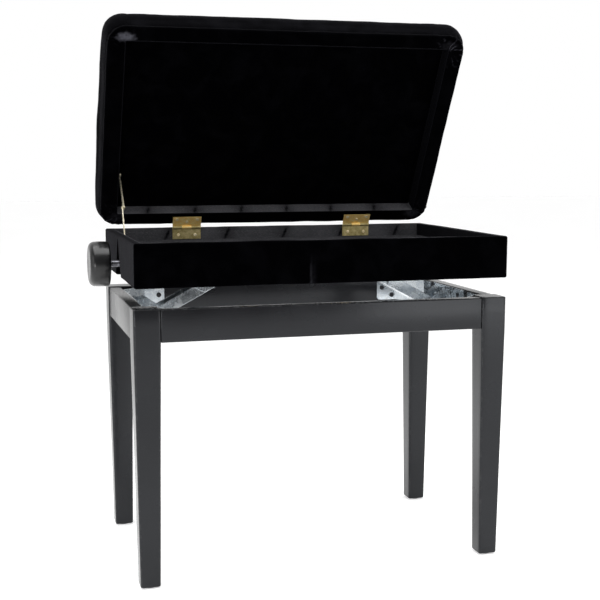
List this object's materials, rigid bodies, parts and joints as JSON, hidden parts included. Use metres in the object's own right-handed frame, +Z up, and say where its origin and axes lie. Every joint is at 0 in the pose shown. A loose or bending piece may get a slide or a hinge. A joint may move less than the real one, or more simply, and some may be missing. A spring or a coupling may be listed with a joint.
{
  "type": "piano bench",
  "caption": "Height-adjustable piano bench: black wooden base with tapered legs, knob-driven screw lift and a velour storage box under a hinged padded lid.",
  "frame": {"origin": "on the floor, under the middle of the bench's outline in the stored pose, knob and open lid included", "axes": "+Z up; -Y is the front, the side that the lid opens from; +X is right seen from the front, so the knob is on the -X side"},
  "size_m": [0.5976, 0.3768, 0.8179],
  "materials": {
    "black_lacquer": "satin black lacquer on wood",
    "bare_wood": "bare plywood and softwood",
    "velour": "black velour with a short pile",
    "lining": "black felt lining",
    "foam": "seat foam",
    "black_plastic": "satin black plastic",
    "dark_steel": "black oxide",
    "zinc": "bright zinc plating",
    "brass": "polished brass",
    "stay_metal": "brass-tinted plating"
  },
  "bodies": {
    "base": {"leg_front_left": "black_lacquer", "leg_front_right": "black_lacquer", "leg_back_left": "black_lacquer", "leg_back_right": "black_lacquer", "apron_front": "black_lacquer", "apron_back": "black_lacquer", "apron_left": "black_lacquer", "apron_right": "black_lacquer", "apron_dowels": "bare_wood", "corner_brace_front_left": "zinc", "corner_brace_front_right": "zinc", "corner_brace_back_left": "zinc", "corner_brace_back_right": "zinc", "frame_screws": "dark_steel", "leg_bolts": "zinc", "foot_glides": "black_plastic", "base_bracket_left": "zinc", "base_bracket_right": "zinc", "pivot_rods": "zinc"},
    "arm_left": {"arm_left": "zinc", "mid_pin_left": "zinc"},
    "link_left": {"link_left": "zinc"},
    "nut_left": {"nut_left": "brass"},
    "seat_box": {"wall_front": "black_lacquer", "wall_back": "black_lacquer", "wall_left": "black_lacquer", "wall_right": "black_lacquer", "tray_floor": "black_lacquer", "box_cover": "velour", "box_lining": "lining", "seat_bracket_left": "zinc", "seat_bracket_right": "zinc", "seat_bracket_bolts": "zinc", "link_pins": "zinc", "screw_bushes": "black_plastic", "hinge_box_leaves": "brass", "hinge_pins": "brass", "hinge_box_screws": "brass", "stay_box_screw": "stay_metal"},
    "arm_right": {"arm_right": "zinc", "mid_pin_right": "zinc"},
    "link_right": {"link_right": "zinc"},
    "nut_right": {"nut_right": "brass"},
    "screw": {"lead_screw": "zinc", "knob": "black_plastic", "knob_set_screw": "dark_steel", "thrust_collars": "zinc"},
    "lid": {"lid_rails_long": "bare_wood", "lid_rails_short": "bare_wood", "lid_board": "bare_wood", "lid_foam": "foam", "lid_cover": "velour", "lid_lining": "lining", "hinge_lid_leaves": "brass", "hinge_lid_screws": "brass", "stay_lid_screw": "stay_metal"},
    "stay_lower": {"stay_lower_arm": "stay_metal", "stay_lower_rivet": "stay_metal"},
    "stay_upper": {"stay_upper_arm": "stay_metal", "stay_upper_rivet": "stay_metal"}
  },
  "joints": [
    {"name": "seat_height", "type": "hinge", "parent": "base", "child": "arm_left", "pos_m": [-0.19975, -0.01645, 0.372], "axis": [0, -1, 0], "range_deg": [-11, 30.5]},
    {"name": "link_left_pivot", "type": "hinge", "parent": "arm_left", "child": "link_left", "pos_m": [-0.12908, -0.01645, 0.4095], "axis": [0, -1, 0], "range_deg": [-61, 22]},
    {"name": "seat_pivot", "type": "hinge", "parent": "link_left", "child": "seat_box", "pos_m": [-0.19975, -0.01645, 0.447], "axis": [0, -1, 0], "range_deg": [-11, 30.5]},
    {"name": "nut_left_pivot", "type": "hinge", "parent": "arm_left", "child": "nut_left", "pos_m": [-0.05842, -0.01645, 0.447], "axis": [0, -1, 0], "range_deg": [-30.5, 11]},
    {"name": "arm_right_pivot", "type": "hinge", "parent": "base", "child": "arm_right", "pos_m": [0.24225, -0.01645, 0.372], "axis": [0, 1, 0], "range_deg": [-11, 30.5]},
    {"name": "link_right_pivot", "type": "hinge", "parent": "arm_right", "child": "link_right", "pos_m": [0.17158, -0.01645, 0.4095], "axis": [0, 1, 0], "range_deg": [-61, 22]},
    {"name": "nut_right_pivot", "type": "hinge", "parent": "arm_right", "child": "nut_right", "pos_m": [0.10092, -0.01645, 0.447], "axis": [0, 1, 0], "range_deg": [-30.5, 11]},
    {"name": "knob_turn", "type": "hinge", "parent": "seat_box", "child": "screw", "pos_m": [-0.26875, -0.01645, 0.447], "axis": [-1, 0, 0], "range_deg": [-2200, 6100]},
    {"name": "lid_hinge", "type": "hinge", "parent": "seat_box", "child": "lid", "pos_m": [0.02125, 0.14125, 0.489], "axis": [-1, 0, 0], "range_deg": [-60, 0]},
    {"name": "stay_lower_pivot", "type": "hinge", "parent": "seat_box", "child": "stay_lower", "pos_m": [-0.2384, 0.03356, 0.481], "axis": [-1, 0, 0], "range_deg": [-121.78, 0]},
    {"name": "stay_upper_pivot", "type": "hinge", "parent": "lid", "child": "stay_upper", "pos_m": [-0.2365, 0.10224, 0.57617], "axis": [-1, 0, 0], "range_deg": [0, 87.97]}
  ],
  "couplings": [
    {"joint": "link_left_pivot", "follows": "seat_height", "ratio": -2},
    {"joint": "seat_pivot", "follows": "seat_height", "ratio": 1},
    {"joint": "nut_left_pivot", "follows": "seat_height", "ratio": -1},
    {"joint": "arm_right_pivot", "follows": "seat_height", "ratio": 1},
    {"joint": "link_right_pivot", "follows": "seat_height", "ratio": -2},
    {"joint": "nut_right_pivot", "follows": "seat_height", "ratio": -1},
    {"joint": "knob_turn", "follows": "seat_height", "ratio": 200},
    {"joint": "stay_lower_pivot", "follows": "lid_hinge", "ratio": 2.0296},
    {"joint": "stay_upper_pivot", "follows": "lid_hinge", "ratio": -1.4661}
  ]
}
